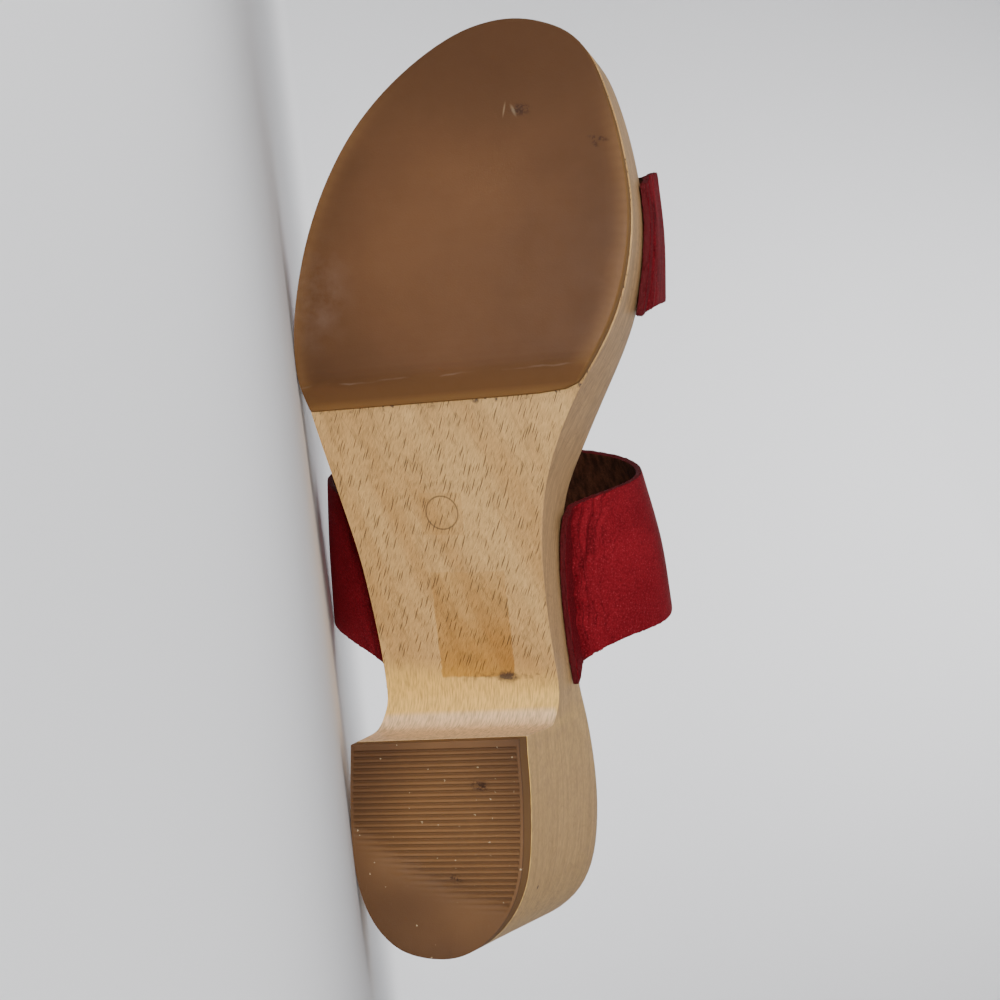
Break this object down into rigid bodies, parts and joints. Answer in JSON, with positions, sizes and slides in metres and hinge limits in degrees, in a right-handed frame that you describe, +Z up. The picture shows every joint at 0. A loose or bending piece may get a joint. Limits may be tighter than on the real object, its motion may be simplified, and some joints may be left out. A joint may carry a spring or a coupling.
{
  "type": "clog sandal",
  "caption": "High-heeled wooden clog sandal with open leather toe and instep straps, a rubber half sole and a ribbed rubber heel lift, lying on its outer side.",
  "frame": {"origin": "middle of the footprint of the lying shoe, on the floor", "axes": "+X along the shoe from its toe to its heel, +Y from the tread's side to the upper's side, +Z up from the shoe's outer side to its inner side"},
  "size_m": [0.2488, 0.1352, 0.1062],
  "materials": {
    "beech": "bare oiled beech, satin",
    "half_sole_rubber": "smooth translucent brown, satin",
    "lift_rubber": "finely ribbed brown, worn",
    "leather": "red grained leather, soft gloss"
  },
  "bodies": {
    "root": {"wooden_sole": "beech", "forefoot_outsole": "half_sole_rubber", "heel_top_lift": "lift_rubber", "toe_strap": "leather", "instep_strap": "leather"}
  },
  "joints": []
}
